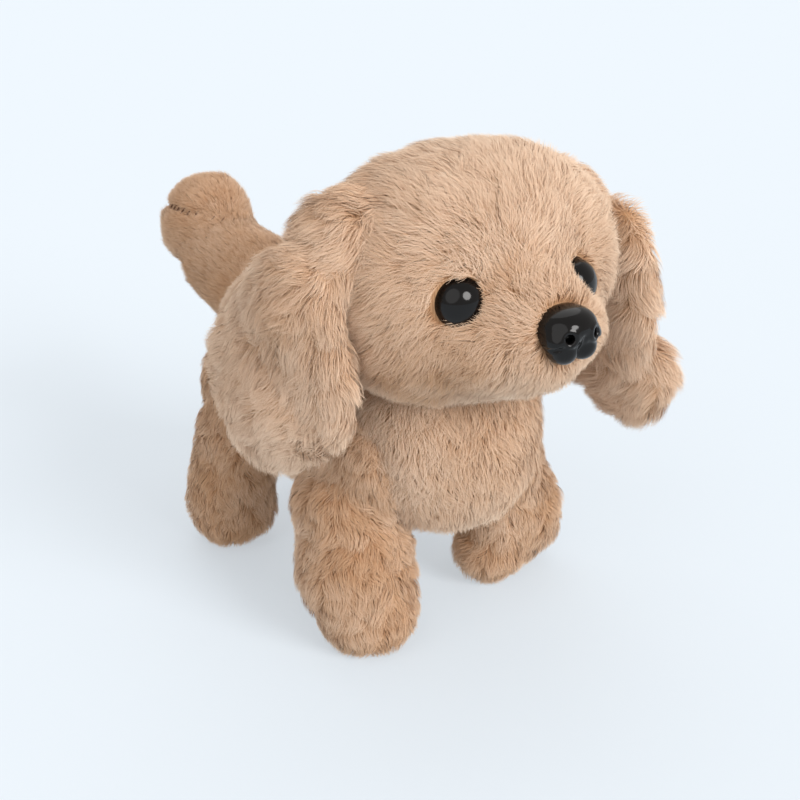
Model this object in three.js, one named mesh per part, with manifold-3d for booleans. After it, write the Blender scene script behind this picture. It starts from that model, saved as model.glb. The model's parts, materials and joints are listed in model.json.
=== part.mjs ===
// Walking plush puppy: a battery toy dog in pile fabric over a plastic drive unit.
// Millimetres, +Z up. The dog looks along -Y, its left side is +X, and the origin lies on the
// floor under the middle of the toy. "plush" parts are the fabric covers, at half the pile's depth.

import * as THREE from 'three';
import { mergeVertices } from 'three/addons/utils/BufferGeometryUtils.js';
import Module from 'manifold-3d';

const wasm = await Module();
wasm.setup();

// ---------------------------------------------------------------- driving dimensions
const GAP = 0.3; // air left round parts that touch, turn or are fixed together
const SWING_GAP = 1.8; // air round a soft part that swings in its opening
const SIDES = { left: 1, right: -1 };

const TORSO = { centre: [0, -5, 73], radii: [37, 67, 41], power: 3, wall: 2.5 };
const HEAD = { centre: [0, -56, 125], radii: [48, 31, 36], back: 34, power: 2.2, wall: 4 };
const MUZZLE = { centre: [0, -83, 115], radii: [28, 19, 19], wall: 5 };
const NECK = { y: -46, z: 103, pin: 1.5, nodGap: 4 };

const HIP = { frontY: -41, rearY: 37, z: 60, axle: 1.5 };
const LEG = { x: 33.5, shoulder: [13.5, 16, 16], medial: 28, frontLean: -1.5, rearLean: 8 };
const FOOT = { z: 12, outer: 37, front: 6, rear: 5, thick: 3 }; // the plate inside each paw
const REST_SWING = THREE.MathUtils.degToRad(5); // how far each side stands from mid stride

const SHELL = { halfWidth: 19, rear: 46, front: -50, bottom: 43, top: 86, corner: 12, wall: 1.8 };
const LEVER = { inner: 21.5, outer: 24, rodArm: 12, yokeArm: 19, window: 7.5, rim: 2.6 };
const ROD = { inner: 24.5, outer: 26.5, stud: 1.3 };

const GEAR = { module: 0.5, wheel: 36, pinion: 10, addendum: 0.9, dedendum: 1.25, thin: 0.16 };
const GEAR_SPACING = GEAR.module * (GEAR.wheel + GEAR.pinion) / 2 + 0.15;
const TRAIN_SLOPE = THREE.MathUtils.degToRad(25);
const CRANK = { throw: 3, pin: 1.1, disc: 5.5, shaft: 1.5 };
const IDLER_PIN = 0.8;
const MOTOR = { radius: 7.75, flat: 6, from: 4.5, to: 16.6 };

const CELL = { radius: 5.25, length: 44.5, spacing: 11, z: 50.3 };
const TRAY = { halfWidth: 13.4, front: -5.5, rear: 44, bottom: 45, top: 57, wall: 1.2 };
const FLAP = { halfWidth: 14.8, front: -9, rear: 47 };
const SWITCH = { y: -19, halfWidth: 4, halfLength: 6, bottom: 33.4, travel: 4 };

const TAIL = { pivot: [0, 52, 91.5], root: 12.4, tip: [0, 95.55, 104], knob: 14, pin: 1.2 };
const TAIL_WAG = Math.PI / 12; // how far the tail turns to each side
const EYE = { x: 23, z: 128, radius: 8, height: 6.2, stem: 2 };
const NOSE = { z: 119, radii: [9.3, 8, 8], stem: 1.8 };

// ---------------------------------------------------------------- materials
function material(color, roughness, metalness = 0) {
  return () => new THREE.MeshStandardMaterial({ color, roughness, metalness });
}
const pileFabric = material(0xd6b28c, 0.95);
const fibre = material(0xf2efe8, 1);
const ivoryPlastic = material(0xe9e4d6, 0.5);
const greyPlastic = material(0x8f9397, 0.5);
const nylon = material(0xf4f1e6, 0.4);
const blackGloss = material(0x0b0a0a, 0.12);
const blackPlastic = material(0x1d1d1f, 0.45);
const steel = material(0xb9bcc0, 0.3, 1);
const brass = material(0xc9a24b, 0.35, 1);
const boardGreen = material(0x1f6b3a, 0.5);
const cellWrap = material(0x30343c, 0.35);

// ---------------------------------------------------------------- solids from three.js shapes
function closedSurface(geometry) {
  const bare = geometry.clone();
  bare.deleteAttribute('normal');
  bare.deleteAttribute('uv');
  const merged = mergeVertices(bare, 1e-4);
  const kept = [];
  for (let i = 0; i < merged.index.count; i += 3) {
    const corners = [0, 1, 2].map((k) => merged.index.getX(i + k));
    if (new Set(corners).size === 3) {
      kept.push(...corners);
    }
  }
  merged.setIndex(kept);
  return merged;
}

function solid(geometry) {
  const surface = closedSurface(geometry);
  const vertProperties = new Float32Array(surface.attributes.position.array);
  const triVerts = new Uint32Array(surface.index.array);
  return new wasm.Manifold(new wasm.Mesh({ numProp: 3, vertProperties, triVerts }));
}

function geometryOf(shape) {
  const mesh = shape.getMesh();
  const geometry = new THREE.BufferGeometry();
  const positions = new Float32Array(mesh.vertProperties);
  geometry.setAttribute('position', new THREE.BufferAttribute(positions, 3));
  geometry.setIndex(new THREE.BufferAttribute(new Uint32Array(mesh.triVerts), 1));
  return geometry;
}

// A superellipsoid: power 2 is an ellipsoid, a higher power is boxier. back is the +Y radius.
function ball(centre, radii, power = 2, rings = 14, back = radii[1]) {
  const geometry = new THREE.SphereGeometry(1, Math.round(rings * 1.6), rings);
  geometry.rotateX(Math.PI / 2);
  const position = geometry.attributes.position;
  const point = new THREE.Vector3();
  for (let i = 0; i < position.count; i += 1) {
    point.fromBufferAttribute(position, i);
    const sum = point.toArray().reduce((total, v) => total + Math.abs(v) ** power, 0);
    point.multiplyScalar(sum ** (-1 / power));
    const depth = point.y > 0 ? back : radii[1];
    position.setXYZ(i, point.x * radii[0], point.y * depth, point.z * radii[2]);
  }
  geometry.translate(...centre);
  return solid(geometry);
}

function block(low, high) {
  const size = high.map((value, axis) => value - low[axis]);
  const geometry = new THREE.BoxGeometry(...size);
  geometry.translate(...high.map((value, axis) => (value + low[axis]) / 2));
  return solid(geometry);
}

function rod(from, to, radius, sides = 16) {
  const start = new THREE.Vector3(...from);
  const run = new THREE.Vector3(...to).sub(start);
  const geometry = new THREE.CylinderGeometry(radius, radius, run.length(), sides);
  const up = new THREE.Vector3(0, 1, 0);
  geometry.applyQuaternion(new THREE.Quaternion().setFromUnitVectors(up, run.clone().normalize()));
  geometry.translate(...start.addScaledVector(run, 0.5).toArray());
  return solid(geometry);
}

// A cylinder along X at (y, z), from x0 to x1.
function rodX([y, z], x0, x1, radius, sides = 16) {
  return rod([x0, y, z], [x1, y, z], radius, sides);
}

// A flat outline in the YZ plane, made into a plate from x0 to x1.
function plateX(shape, x0, x1, curveSegments = 4) {
  const depth = Math.abs(x1 - x0);
  const geometry = new THREE.ExtrudeGeometry(shape, { depth, bevelEnabled: false, curveSegments });
  const turn = new THREE.Matrix4().set(0, 0, 1, 0, 1, 0, 0, 0, 0, 1, 0, 0, 0, 0, 0, 1);
  geometry.applyMatrix4(turn);
  geometry.translate(Math.min(x0, x1), 0, 0);
  return solid(geometry);
}

function outline(points) {
  return new THREE.Shape(points.map(([y, z]) => new THREE.Vector2(y, z)));
}

// A straight bar of the given width between two (y, z) points, with square ends.
function barX(from, to, width, x0, x1) {
  const along = new THREE.Vector2(to[0] - from[0], to[1] - from[1]).normalize();
  const [dy, dz] = [-along.y * width / 2, along.x * width / 2];
  const corners = [
    [from[0] - dy, from[1] - dz],
    [to[0] - dy, to[1] - dz],
    [to[0] + dy, to[1] + dz],
    [from[0] + dy, from[1] + dz],
  ];
  return plateX(outline(corners), x0, x1);
}

function roundedRectangle(y0, z0, y1, z1, radius) {
  const shape = new THREE.Shape();
  shape.moveTo(y0 + radius, z0);
  shape.lineTo(y1 - radius, z0);
  shape.absarc(y1 - radius, z0 + radius, radius, -Math.PI / 2, 0);
  shape.lineTo(y1, z1 - radius);
  shape.absarc(y1 - radius, z1 - radius, radius, 0, Math.PI / 2);
  shape.lineTo(y0 + radius, z1);
  shape.absarc(y0 + radius, z1 - radius, radius, Math.PI / 2, Math.PI);
  shape.lineTo(y0, z0 + radius);
  shape.absarc(y0 + radius, z0 + radius, radius, Math.PI, 1.5 * Math.PI);
  return shape;
}

// A closed skin through oval rings. Each ring: centre, two half-axis vectors.
function loft(rings, sides = 16) {
  const points = [];
  for (const { centre, u, v } of rings) {
    for (let i = 0; i < sides; i += 1) {
      const angle = (2 * Math.PI * i) / sides;
      const along = u.clone().multiplyScalar(Math.cos(angle));
      points.push(centre.clone().add(along).addScaledVector(v, Math.sin(angle)));
    }
  }
  const index = [];
  for (let r = 0; r + 1 < rings.length; r += 1) {
    for (let i = 0; i < sides; i += 1) {
      const [a, b] = [r * sides + i, r * sides + ((i + 1) % sides)];
      index.push(a, b, b + sides, a, b + sides, a + sides);
    }
  }
  const last = (rings.length - 1) * sides;
  for (let i = 1; i + 1 < sides; i += 1) {
    index.push(0, i + 1, i);
    index.push(last, last + i, last + i + 1);
  }
  const geometry = new THREE.BufferGeometry().setFromPoints(points);
  geometry.setIndex(index);
  return solid(geometry);
}

function levelRing(x, y, z, halfX, halfY) {
  const centre = new THREE.Vector3(x, y, z);
  return { centre, u: new THREE.Vector3(halfX, 0, 0), v: new THREE.Vector3(0, halfY, 0) };
}

function turned(shape, angle, [y, z]) {
  const turn = new THREE.Matrix4().makeRotationX(angle);
  turn.setPosition(0, y, z);
  const geometry = geometryOf(shape);
  geometry.applyMatrix4(turn);
  return solid(geometry);
}

function mirrored(shape) {
  const geometry = geometryOf(shape);
  geometry.scale(-1, 1, 1);
  const index = geometry.index.array;
  for (let i = 0; i < index.length; i += 3) {
    [index[i], index[i + 1]] = [index[i + 1], index[i]];
  }
  return solid(geometry);
}

function onSide(shape, side) {
  return side > 0 ? shape : mirrored(shape);
}

const toy = new THREE.Group();

function add(name, shape, finish, parent = toy) {
  const mesh = new THREE.Mesh(geometryOf(shape), finish());
  mesh.name = name;
  parent.add(mesh);
  return mesh;
}

// ---------------------------------------------------------------- gears
function involute(angle) {
  return Math.tan(angle) - angle;
}

// A spur gear's outline about (0, 0), with the middle of a tooth at the angle phase.
function gearOutline(teeth, phase) {
  const pressure = THREE.MathUtils.degToRad(20);
  const pitch = (GEAR.module * teeth) / 2;
  const base = pitch * Math.cos(pressure);
  const radii = [pitch - GEAR.dedendum * GEAR.module, pitch + GEAR.addendum * GEAR.module];
  const atPitch = ((1 - GEAR.thin) * Math.PI) / (2 * teeth);
  const halves = radii.map((radius) => {
    const reach = Math.acos(Math.min(1, base / Math.max(radius, base)));
    return atPitch + involute(pressure) - involute(reach);
  });
  const points = [];
  for (let tooth = 0; tooth < teeth; tooth += 1) {
    const middle = phase + (2 * Math.PI * tooth) / teeth;
    const flank = radii.map((radius, i) => [radius, halves[i]]);
    const rising = flank.map(([radius, half]) => [radius, middle - half]);
    const falling = flank.toReversed().map(([radius, half]) => [radius, middle + half]);
    for (const [radius, angle] of [...rising, ...falling]) {
      points.push([radius * Math.cos(angle), radius * Math.sin(angle)]);
    }
  }
  return outline(points);
}

function gear(teeth, phase, x0, x1) {
  return plateX(gearOutline(teeth, phase), x0, x1);
}

// Axes of the train, in (y, z): crank, idler b, idler a, motor, evenly spaced up a slope.
const CRANK_AXIS = [HIP.frontY + LEVER.yokeArm, HIP.z];
const trainAxis = (step) => [
  CRANK_AXIS[0] + step * GEAR_SPACING * Math.cos(TRAIN_SLOPE),
  CRANK_AXIS[1] + step * GEAR_SPACING * Math.sin(TRAIN_SLOPE),
];
const IDLER_B_AXIS = trainAxis(1);
const IDLER_A_AXIS = trainAxis(2);
const MOTOR_AXIS = trainAxis(3);
const FACE = 3; // width of each gear along X
const STAGE = 4; // step from one stage's plane to the next
const stagePlane = (stage) => [-8 + stage * STAGE, -8 + stage * STAGE + FACE];
const WHEEL_PHASE = TRAIN_SLOPE; // a wheel's tooth points up the slope, into a pinion's space
const PINION_PHASE = TRAIN_SLOPE + Math.PI + Math.PI / GEAR.pinion;

function placed(shape, [y, z]) {
  const group = new THREE.Group();
  group.position.set(0, y, z);
  toy.add(group);
  return (name, finish) => add(name, shape, finish, group);
}

function idlerGear(stage) {
  const [pinionFrom, pinionTo] = stagePlane(stage);
  const [wheelFrom, wheelTo] = stagePlane(stage + 1);
  return gear(GEAR.pinion, PINION_PHASE, pinionFrom, pinionTo + 0.5)
    .add(gear(GEAR.wheel, WHEEL_PHASE, wheelFrom, wheelTo))
    .add(rodX([0, 0], pinionTo, wheelFrom + 0.5, 1.8))
    .subtract(rodX([0, 0], pinionFrom - 1, wheelTo + 1, IDLER_PIN + GAP));
}

function buildTrain() {
  const reach = SHELL.halfWidth - GAP;
  placed(idlerGear(0), IDLER_B_AXIS)('idler_gear_b', nylon);
  placed(idlerGear(1), IDLER_A_AXIS)('idler_gear_a', nylon);
  add('idler_pin_b', rodX(IDLER_B_AXIS, -reach, reach, IDLER_PIN, 10), steel);
  add('idler_pin_a', rodX(IDLER_A_AXIS, -reach, reach, IDLER_PIN, 10), steel);

  const [from, to] = stagePlane(2);
  const pinion = gear(GEAR.pinion, PINION_PHASE, from, to).add(rodX([0, 0], from, to + 4, 1));
  placed(pinion, MOTOR_AXIS)('motor_pinion', brass);

  const can = rodX([0, 0], MOTOR.from, MOTOR.to, MOTOR.radius, 24)
    .intersect(block([0, -20, -MOTOR.flat], [30, 20, MOTOR.flat]))
    .subtract(rodX([0, 0], MOTOR.from - 1, MOTOR.from + 4, 1 + GAP));
  placed(can, MOTOR_AXIS)('motor', steel);

  const [wheelFrom, wheelTo] = stagePlane(0);
  const wheel = gear(GEAR.wheel, WHEEL_PHASE, wheelFrom, wheelTo)
    .subtract(rodX([0, 0], wheelFrom - 1, wheelTo + 1, CRANK.shaft + GAP));
  placed(wheel, CRANK_AXIS)('output_gear', nylon);
  placed(rodX([0, 0], -21, 21, CRANK.shaft), CRANK_AXIS)('crank_shaft', steel);
}

// The crank stands where the left yoke is lifted, and the right one lowered, by REST_SWING.
const CRANK_ANGLE = Math.asin((LEVER.yokeArm * Math.sin(REST_SWING)) / CRANK.throw);

function buildCrankDiscs() {
  for (const [name, side] of Object.entries(SIDES)) {
    const pinAt = [
      side * CRANK.throw * Math.cos(CRANK_ANGLE),
      side * CRANK.throw * Math.sin(CRANK_ANGLE),
    ];
    const disc = rodX([0, 0], SHELL.halfWidth + 0.4, LEVER.inner - 0.4, CRANK.disc, 20)
      .add(rodX(pinAt, LEVER.inner - 0.8, LEVER.outer + 0.2, CRANK.pin, 12))
      .subtract(rodX([0, 0], SHELL.halfWidth - 1, LEVER.inner, CRANK.shaft + GAP));
    placed(onSide(disc, side), CRANK_AXIS)(`crank_disc_${name}`, greyPlastic);
  }
}

// ---------------------------------------------------------------- body shells and what they hold
const SCREWS = [[-44, 72], [-32, 48.5], [40, 71]]; // (y, z)

function buildShells() {
  const { halfWidth, rear, front, bottom, top, corner, wall } = SHELL;
  const holes = [
    [HIP.frontY, HIP.z, HIP.axle],
    [HIP.rearY, HIP.z, HIP.axle],
    [...CRANK_AXIS, CRANK.shaft],
    [...IDLER_A_AXIS, IDLER_PIN],
    [...IDLER_B_AXIS, IDLER_PIN],
    ...SCREWS.map((place) => [...place, 1.2]),
  ];
  const innerCorner = corner - wall;
  const inner = [front + wall, bottom + wall, rear - wall, top - wall];
  let half = plateX(roundedRectangle(front, bottom, rear, top, corner), GAP / 2, halfWidth)
    .subtract(plateX(roundedRectangle(...inner, innerCorner), -1, halfWidth - wall));
  for (const [y, z] of SCREWS) {
    half = half.add(rodX([y, z], GAP / 2, halfWidth - 0.5, 2.6, 8));
  }
  for (const [y, z, radius] of holes) {
    half = half.subtract(rodX([y, z], -1, halfWidth + 1, radius + GAP, 10));
  }
  const trayRoom = [TRAY.halfWidth + 0.5, TRAY.rear + 0.5, TRAY.top + 0.5];
  half = half
    .subtract(block([-1, TRAY.front - 0.5, bottom - 1], trayRoom))
    .subtract(block([-1, SWITCH.y - 3, bottom - 1], [2.4, SWITCH.y + 3, bottom + wall + 1]));
  add('body_shell_left', half, ivoryPlastic);
  add('body_shell_right', mirrored(half), ivoryPlastic);

  SCREWS.forEach(([y, z], i) => {
    const screw = rodX([y, z], -16, halfWidth + 0.5, 1.2, 10)
      .add(rodX([y, z], halfWidth + GAP, halfWidth + 2, 2.6, 12));
    add(`body_screw_${i + 1}`, screw, steel);
  });
}

function buildPower() {
  const { halfWidth, front, rear, bottom, top, wall } = TRAY;
  const low = [-halfWidth + wall, front + wall, bottom - 1];
  const high = [halfWidth - wall, rear - wall, top - wall];
  const tray = block([-halfWidth, front, bottom], [halfWidth, rear, top]).subtract(block(low, high));
  add('battery_tray', tray, blackPlastic);

  const cellRear = rear - wall - 0.9;
  const middle = cellRear - CELL.length / 2;
  const along = (y) => [0, y, 0];
  for (const [name, side] of Object.entries(SIDES)) {
    const cell = rod(along(-CELL.length / 2), along(CELL.length / 2 - 1.5), CELL.radius, 14)
      .add(rod(along(CELL.length / 2 - 2), along(CELL.length / 2), 1.9, 10));
    const holder = new THREE.Group();
    holder.position.set((side * CELL.spacing) / 2, middle, CELL.z);
    holder.rotation.z = side > 0 ? 0 : Math.PI; // the cells lie head to tail
    toy.add(holder);
    add(`battery_cell_${name}`, cell, cellWrap, holder);
  }
  const plate = [[-9.5, cellRear + 0.2, 46], [9.5, cellRear + 0.6, 54.4]];
  add('contact_plate', block(...plate), steel);
  const spring = [[-9.5, front + wall + GAP, 46.5], [9.5, cellRear - CELL.length - GAP, 54]];
  add('contact_spring', block(...spring), steel);

  const lid = block([-halfWidth, front, bottom - 1.8], [halfWidth, rear, bottom - 0.4]);
  const coverScrew = (z) => [0, rear - 4, z];
  const cover = lid.subtract(rod(coverScrew(40), coverScrew(46), 1.5, 12));
  add('battery_cover', cover, ivoryPlastic);
  const screw = rod(coverScrew(bottom - 3.3), coverScrew(bottom - 2.1), 2.4, 12)
    .add(rod(coverScrew(bottom - 3), coverScrew(bottom + 0.4), 1.2, 10));
  add('cover_screw', screw, steel);
}

function buildElectronics() {
  const board = block([-14.6, 3, 62], [-13.4, 34, 82])
    .add(block([-13.6, 12, 68], [-11.8, 22, 76]))
    .add(block([-13.6, 26, 64], [-10.5, 31, 69]));
  add('circuit_board', board, boardGreen);

  const at = (z) => [0, 28.5, z];
  const speaker = rod(at(75.5), at(79), 5, 14)
    .add(rod(at(78.5), at(82.4), 10, 18))
    .subtract(rod(at(81.2), at(83), 8.6, 18));
  add('speaker', speaker, blackPlastic);
}

function buildSwitch() {
  const { y, halfWidth, halfLength, bottom } = SWITCH;
  const top = SHELL.bottom - GAP;
  const tower = block([-halfWidth, y - halfLength, bottom], [halfWidth, y + halfLength, top])
    .add(block([-2, y - 2.6, SHELL.bottom - 1], [2, y + 2.6, SHELL.bottom + 5]))
    .subtract(block([-2.2, y - 4.6, bottom - 1], [2.2, y + 4.6, bottom + 3]));
  add('switch_tower', tower, blackPlastic);
  const from = y - 4.6 + GAP;
  const to = y + 4.6 - GAP - SWITCH.travel;
  const knob = block([-1.8, from, bottom - 2], [1.8, to, bottom + 2.6]);
  add('switch_knob', knob, greyPlastic);
}

// ---------------------------------------------------------------- legs
function footAt(front) {
  return [front ? LEG.frontLean : LEG.rearLean, FOOT.z - HIP.z];
}

// The plate inside a paw, with air round it when it is the room that it needs.
function footPlate([y, z], innerX, air) {
  const half = FOOT.thick / 2 + air;
  return block([innerX, y - FOOT.front - air, z - half], [FOOT.outer + air, y + FOOT.rear + air, z + half]);
}

function lever(front) {
  const foot = footAt(front);
  const { inner, outer, rodArm, yokeArm, window, rim } = LEVER;
  let shape = rodX([0, 0], inner, outer, 4.6, 16)
    .add(barX([0, 0], foot, 7, inner, outer))
    .add(barX([0, 0], [0, rodArm], 5, inner, outer))
    .add(rodX([0, rodArm], inner, outer, 3.4, 12))
    .add(rodX([0, rodArm], outer - 0.5, ROD.outer + 0.6, ROD.stud, 12));
  if (front) {
    const reach = window + rim;
    const low = [inner, yokeArm - reach, -reach];
    const high = [outer, yokeArm + reach, reach];
    shape = shape
      .add(barX([0, 0], [yokeArm - window - 0.5, 0], 6, inner, outer))
      .add(block(low, high))
      .subtract(block([inner - 1, yokeArm - window, -window], [outer + 1, yokeArm + window, window]));
  }
  return shape.add(footPlate(foot, inner, 0))
    .subtract(rodX([0, 0], inner - 1, outer + 1, HIP.axle + GAP, 12));
}

// The room that a lever's shank and foot plate need inside the soft leg, open to the middle.
function leverRoom(front) {
  const foot = footAt(front);
  const air = 0.8;
  return barX([0, 0], foot, 7 + 2 * air, 10, LEVER.outer + air)
    .add(footPlate(foot, LEVER.inner - 4, air));
}

function softLeg(front) {
  const lean = front ? LEG.frontLean : LEG.rearLean;
  const ring = (z, halfX, halfY, forward = 0) => {
    const share = (HIP.z - z) / HIP.z;
    return levelRing(LEG.x, lean * share + forward, z - HIP.z, halfX, halfY);
  };
  const rings = [
    ring(-4, 5, 6, -1),
    ring(1, 10, 11, -1),
    ring(5, 12.5, 13.5, -1),
    ring(12, 13.5, 15),
    ring(30, 13.2, 15.2),
    ring(48, 13.2, 15.6),
    ring(60, 13.2, 15.8),
  ];
  const above = block([0, -40, -16], [LEG.medial, 40, 40]);
  return loft(rings, 12).add(ball([LEG.x, 0, 0], LEG.shoulder, 2, 8))
    .subtract(above)
    .subtract(leverRoom(front));
}

function buildLegs() {
  const ground = block([-90, -150, -30], [90, 150, 0]);
  for (const [sideName, side] of Object.entries(SIDES)) {
    for (const [endName, hipY] of [['front', HIP.frontY], ['rear', HIP.rearY]]) {
      const front = endName === 'front';
      const name = `${endName}_${sideName}`;
      const swing = side * REST_SWING;
      const hip = new THREE.Group();
      hip.position.set(0, hipY, HIP.z);
      hip.rotation.x = swing;
      toy.add(hip);
      add(`${name}_lever`, onSide(lever(front), side), ivoryPlastic, hip);
      const soft = turned(onSide(softLeg(front), side), swing, [hipY, HIP.z]).subtract(ground);
      add(`${name}_leg`, soft, pileFabric);
    }
  }
  for (const [endName, y] of [['front', HIP.frontY], ['rear', HIP.rearY]]) {
    add(`${endName}_hip_axle`, rodX([y, HIP.z], -26.5, 26.5, HIP.axle, 12), steel);
  }
}

function buildSideRods() {
  for (const [name, side] of Object.entries(SIDES)) {
    const dy = -side * LEVER.rodArm * Math.sin(REST_SWING);
    const z = HIP.z + LEVER.rodArm * Math.cos(REST_SWING);
    const ends = [[HIP.frontY + dy, z], [HIP.rearY + dy, z]];
    let bar = barX(...ends, 4, ROD.inner, ROD.outer);
    for (const end of ends) {
      bar = bar.add(rodX(end, ROD.inner, ROD.outer, 3.2, 12));
    }
    for (const end of ends) {
      bar = bar.subtract(rodX(end, ROD.inner - 1, ROD.outer + 1, ROD.stud + GAP, 12));
    }
    add(`side_rod_${name}`, onSide(bar, side), greyPlastic);
  }
}

// ---------------------------------------------------------------- torso cover
function grown({ centre, radii, power, back }, by, rings) {
  const bigger = radii.map((radius) => radius + by);
  return ball(centre, bigger, power, rings, (back ?? radii[1]) + by);
}

// The hole that a leg swings in: round over the hip, flaring down to the floor.
function legOpening() {
  const radius = LEG.shoulder[1] + SWING_GAP;
  const shape = new THREE.Shape();
  shape.moveTo(30, -45);
  shape.lineTo(radius, 0);
  shape.absarc(0, 0, radius, 0, Math.PI);
  shape.lineTo(-30, -45);
  return plateX(shape, LEG.x - LEG.shoulder[0] - 1, 60, 10);
}

function neckSeat() {
  const { centre, radii, power, back } = HEAD;
  const seat = [radii[0] + 2, radii[1] + 3, radii[2] + NECK.nodGap];
  return ball(centre, seat, power, 10, back + 3);
}

// The hole that the tail wags in: round over its pivot, with room for its stem at both ends.
function tailSeat() {
  const radius = TAIL.root + SWING_GAP;
  const pivot = new THREE.Vector3(...TAIL.pivot);
  const up = new THREE.Vector3(0, 0, 1);
  let seat = ball(TAIL.pivot, [radius, radius, radius], 2, 10);
  for (const turn of [-TAIL_WAG, 0, TAIL_WAG]) {
    const run = new THREE.Vector3(...TAIL.tip).sub(pivot).applyAxisAngle(up, turn);
    const end = pivot.clone().addScaledVector(run, 0.6);
    seat = seat.add(rod(TAIL.pivot, end.toArray(), radius + 0.6, 14));
  }
  return seat;
}

function buildTorso() {
  const outer = grown(TORSO, 0, 12);
  const inner = grown(TORSO, -TORSO.wall, 10);
  const shell = outer.subtract(inner);
  const flapRoom = (air, top) => block(
    [-FLAP.halfWidth - air, FLAP.front - air, 0],
    [FLAP.halfWidth + air, FLAP.rear + air, top],
  );
  let cover = shell.subtract(neckSeat()).subtract(tailSeat());
  for (const side of [1, -1]) {
    for (const y of [HIP.frontY, HIP.rearY]) {
      cover = cover.subtract(turned(onSide(legOpening(), side), 0, [y, HIP.z]));
    }
  }
  const { y, halfWidth, halfLength } = SWITCH;
  const [slitX, slitY] = [halfWidth + 0.6, halfLength + 0.6];
  const slit = block([-slitX, y - slitY, 0], [slitX, y + slitY, 60]);
  add('torso_plush', cover.subtract(flapRoom(0.5, 55)).subtract(slit), pileFabric);
  add('belly_flap', shell.intersect(flapRoom(0, TRAY.bottom - 2.4)), pileFabric);

  const filling = grown(TORSO, -TORSO.wall - 1.5, 10)
    .intersect(block([-60, -26, SHELL.top + 2], [60, 34, 130]))
    .subtract(neckSeat())
    .subtract(tailSeat());
  add('back_filling', filling, fibre);
}

// ---------------------------------------------------------------- head
function buildNeck() {
  const base = block([-8, -38, SHELL.top + GAP], [8, -27, SHELL.top + 1.8]);
  const pin = [NECK.y, NECK.z];
  const post = base
    .add(barX([-34, SHELL.top + 1], pin, 7, -3, 3))
    .add(rodX(pin, -3, 3, 4.5))
    .subtract(block([-4, -45, 70], [4, -20, SHELL.top + GAP]))
    .subtract(rodX(pin, -4, 4, NECK.pin + GAP, 12));
  add('neck_post', post, ivoryPlastic);
  add('neck_pin', rodX(pin, -7.5, 7.5, NECK.pin, 12), steel);

  const cheek = (x0, x1) => rodX(pin, x0, x1, 5)
    .add(block([x0, NECK.y - 5, NECK.z], [x1, NECK.y + 5, 114.5]));
  const core = cheek(3.5, 6)
    .add(cheek(-6, -3.5))
    .add(block([-14, -60, 114], [14, -36, 116]))
    .subtract(rodX(pin, -9, 9, NECK.pin + GAP, 12));
  add('head_core', core, ivoryPlastic);
}

function headSurface(x, z) {
  const [cx, cy, cz] = HEAD.centre;
  const [rx, ry, rz] = HEAD.radii;
  const used = Math.abs((x - cx) / rx) ** HEAD.power + Math.abs((z - cz) / rz) ** HEAD.power;
  const y = cy - ry * (1 - used) ** (1 / HEAD.power);
  const slope = (offset, radius) => {
    const share = Math.abs(offset / radius) ** (HEAD.power - 1);
    return (Math.sign(offset) * share) / radius;
  };
  const normal = new THREE.Vector3(slope(x - cx, rx), slope(y - cy, ry), slope(z - cz, rz));
  return { point: new THREE.Vector3(x, y, z), normal: normal.normalize() };
}

function eyeFrame(side) {
  const { point, normal } = headSurface(side * EYE.x, EYE.z);
  const along = (depth) => point.clone().addScaledVector(normal, depth).toArray();
  return { point, normal, along };
}

function eye(side) {
  const { point, normal, along } = eyeFrame(side);
  const sphere = (EYE.radius ** 2 + EYE.height ** 2) / (2 * EYE.height);
  const profile = [new THREE.Vector2(0, 0.4), new THREE.Vector2(EYE.radius, 0.4)];
  const steps = 5;
  const reach = Math.asin(Math.min(1, EYE.radius / sphere));
  for (let i = 1; i <= steps; i += 1) {
    const angle = reach * (1 - i / steps);
    const height = 0.4 + EYE.height - sphere + sphere * Math.cos(angle);
    profile.push(new THREE.Vector2(i === steps ? 0 : sphere * Math.sin(angle), height));
  }
  const dome = new THREE.LatheGeometry(profile, 16);
  const up = new THREE.Vector3(0, 1, 0);
  dome.applyQuaternion(new THREE.Quaternion().setFromUnitVectors(up, normal));
  dome.translate(...point.toArray());
  return solid(dome).add(rod(along(-9), along(1), EYE.stem, 12));
}

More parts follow.
